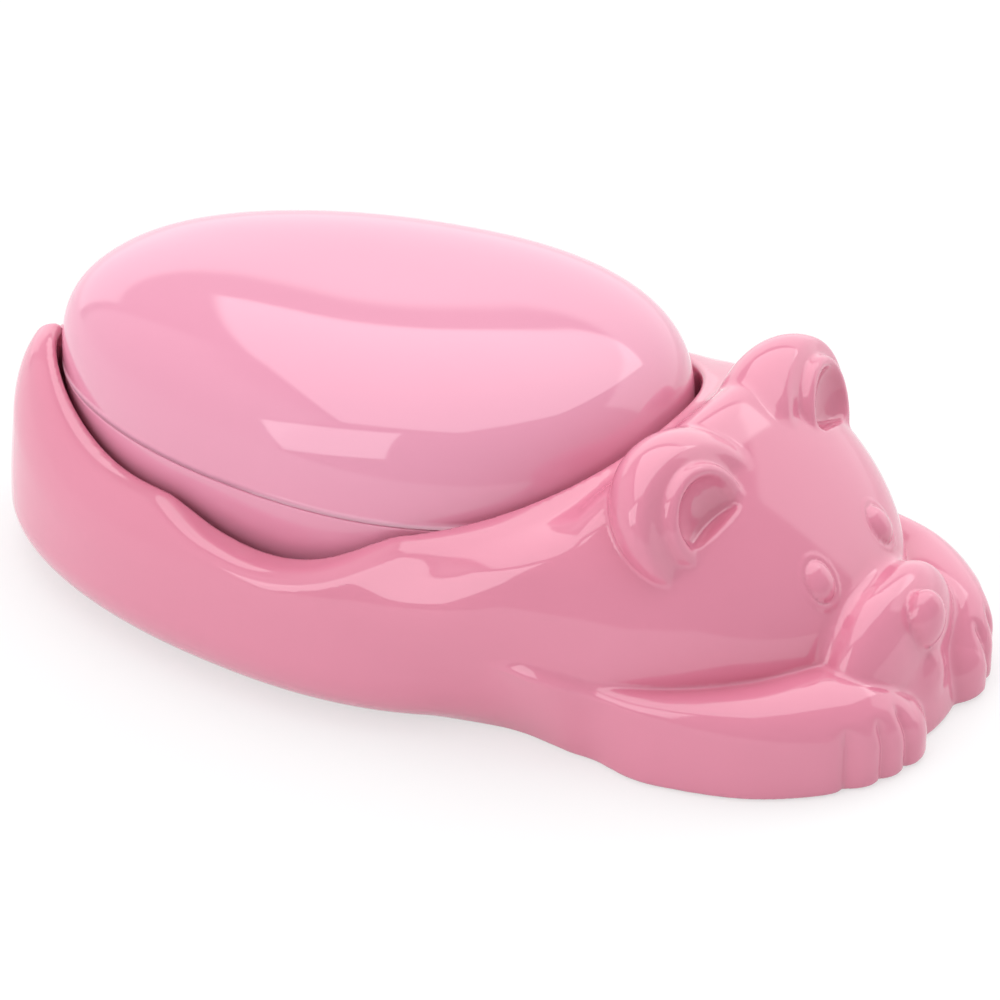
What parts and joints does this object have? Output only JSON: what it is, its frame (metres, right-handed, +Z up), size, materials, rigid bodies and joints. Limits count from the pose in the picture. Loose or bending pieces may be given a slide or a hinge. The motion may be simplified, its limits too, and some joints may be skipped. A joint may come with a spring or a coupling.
{
  "type": "covered soap dish",
  "caption": "Covered soap dish: a lying bear whose hollow back holds an oval soap box with a domed lift-off lid.",
  "frame": {"origin": "on the table, under the middle of the oval soap box", "axes": "+X towards the bear's nose, +Y towards the bear's left side, +Z up out of the table"},
  "size_m": [0.1797, 0.101, 0.0555],
  "materials": {
    "bear_plastic": "smooth gloss, pink, dyed through",
    "box_plastic": "smooth gloss, slightly paler pink, dyed through"
  },
  "bodies": {
    "dish": {"bear_body": "bear_plastic", "soap_tray": "box_plastic"},
    "cover": {"lid": "box_plastic"}
  },
  "joints": [
    {"name": "lid_lift", "type": "slide", "parent": "dish", "child": "cover", "axis": [0, 0, 1], "range_m": [0, 0.06]}
  ]
}
